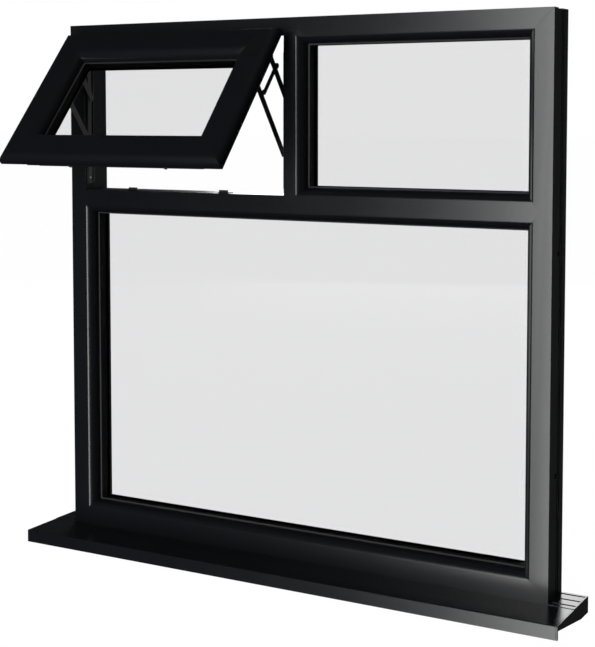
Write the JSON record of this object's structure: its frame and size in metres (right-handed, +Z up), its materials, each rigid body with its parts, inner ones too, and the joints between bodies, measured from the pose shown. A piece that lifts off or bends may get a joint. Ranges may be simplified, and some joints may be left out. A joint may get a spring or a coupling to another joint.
{
  "type": "top-hung vent window",
  "caption": "Square black framed window with a transom and short mullion, two fixed lights, a top-hung vent held open on friction stays, and a projecting sill.",
  "frame": {"origin": "the middle of the sill's flat underside, halfway through the depth of the window frame", "axes": "+X along the window to the right as seen from outside, +Y into the room, +Z up"},
  "size_m": [1.15, 0.3279, 1.08],
  "materials": {
    "black_upvc": "satin blue-black, fine smooth skin",
    "clear_glass": "clear, faintly grey",
    "gasket_rubber": "matt black",
    "edge_sealant": "matt black",
    "spacer_bar": "matt black warm-edge bar",
    "packer_plastic": "plain moulded plastic",
    "zinc_plated_steel": "bright zinc plate",
    "black_steel": "satin black coated flat steel",
    "shoe_plastic": "matt black nylon"
  },
  "bodies": {
    "frame": {"frame_bottom_rail": "black_upvc", "frame_head": "black_upvc", "frame_jamb_left": "black_upvc", "frame_jamb_right": "black_upvc", "hardware_screws": "zinc_plated_steel", "keeps": "black_steel", "lower_edge_seal": "edge_sealant", "lower_glazing_beads": "black_upvc", "lower_inner_gasket": "gasket_rubber", "lower_inner_pane": "clear_glass", "lower_outer_gasket": "gasket_rubber", "lower_outer_pane": "clear_glass", "lower_setting_blocks": "packer_plastic", "lower_spacer_bar": "spacer_bar", "mullion": "black_upvc", "sill": "black_upvc", "sill_end_cap_left": "black_upvc", "sill_end_cap_right": "black_upvc", "sill_screws": "zinc_plated_steel", "stay_tracks": "black_steel", "steel_reinforcements": "zinc_plated_steel", "transom": "black_upvc", "upper_edge_seal": "edge_sealant", "upper_glazing_beads": "black_upvc", "upper_inner_gasket": "gasket_rubber", "upper_inner_pane": "clear_glass", "upper_outer_gasket": "gasket_rubber", "upper_outer_pane": "clear_glass", "upper_setting_blocks": "packer_plastic", "upper_spacer_bar": "spacer_bar"},
    "sash": {"sash_top_rail": "black_upvc", "sash_bottom_rail": "black_upvc", "sash_stile_left": "black_upvc", "sash_stile_right": "black_upvc", "sash_steel": "zinc_plated_steel", "sash_weather_seal": "gasket_rubber", "stay_sash_plates": "black_steel", "stay_rivets": "zinc_plated_steel", "sash_plate_screws": "zinc_plated_steel", "espag_faceplate": "black_steel", "espag_gearbox": "zinc_plated_steel", "sash_outer_gasket": "gasket_rubber", "sash_outer_pane": "clear_glass", "sash_edge_seal": "edge_sealant", "sash_spacer_bar": "spacer_bar", "sash_inner_pane": "clear_glass", "sash_inner_gasket": "gasket_rubber", "sash_setting_blocks": "packer_plastic", "sash_glazing_beads": "black_upvc"},
    "short_arms": {"stay_short_arms": "black_steel"},
    "long_arms": {"stay_long_arms": "black_steel"},
    "links": {"stay_links": "black_steel"},
    "short_shoes": {"stay_short_shoes": "shoe_plastic"},
    "long_shoes": {"stay_long_shoes": "shoe_plastic"},
    "follower": {"spindle_follower": "zinc_plated_steel"},
    "rod": {"espag_rod": "zinc_plated_steel", "mushroom_cams": "zinc_plated_steel"}
  },
  "joints": [
    {"name": "sash_tilt", "type": "hinge", "parent": "frame", "child": "sash", "pos_m": [0, -0.062, 1.086], "axis": [-1, 0, 0], "range_deg": [-41, 0]},
    {"name": "short_arm_pivot", "type": "hinge", "parent": "sash", "child": "short_arms", "pos_m": [0, -0.07764, 1.00552], "axis": [-1, 0, 0], "range_deg": [0, 77.91]},
    {"name": "long_arm_pivot", "type": "hinge", "parent": "sash", "child": "long_arms", "pos_m": [0, -0.12225, 0.9542], "axis": [-1, 0, 0], "range_deg": [0, 77.91]},
    {"name": "link_pivot", "type": "hinge", "parent": "short_arms", "child": "links", "pos_m": [0, -0.05083, 0.98813], "axis": [-1, 0, 0], "range_deg": [-77.91, 0]},
    {"name": "short_shoe_pivot", "type": "hinge", "parent": "short_arms", "child": "short_shoes", "pos_m": [0, -0.021, 0.93008], "axis": [-1, 0, 0], "range_deg": [-36.91, 0]},
    {"name": "long_shoe_pivot", "type": "hinge", "parent": "long_arms", "child": "long_shoes", "pos_m": [0, -0.021, 0.81935], "axis": [-1, 0, 0], "range_deg": [-36.91, 0]},
    {"name": "rod_slide", "type": "slide", "parent": "sash", "child": "rod", "axis": [-1, 0, 0], "range_m": [0, 0.018]},
    {"name": "spindle_turn", "type": "hinge", "parent": "sash", "child": "follower", "pos_m": [-0.2515, -0.22877, 0.80498], "axis": [0, 0.7547, -0.6561], "range_deg": [0, 90.01]}
  ],
  "couplings": [
    {"joint": "short_arm_pivot", "follows": "sash_tilt", "ratio": -1.9},
    {"joint": "long_arm_pivot", "follows": "sash_tilt", "ratio": -1.9},
    {"joint": "link_pivot", "follows": "sash_tilt", "ratio": 1.9},
    {"joint": "short_shoe_pivot", "follows": "sash_tilt", "ratio": 0.9},
    {"joint": "long_shoe_pivot", "follows": "sash_tilt", "ratio": 0.9},
    {"joint": "spindle_turn", "follows": "rod_slide", "rad_per_m": 87.266}
  ]
}
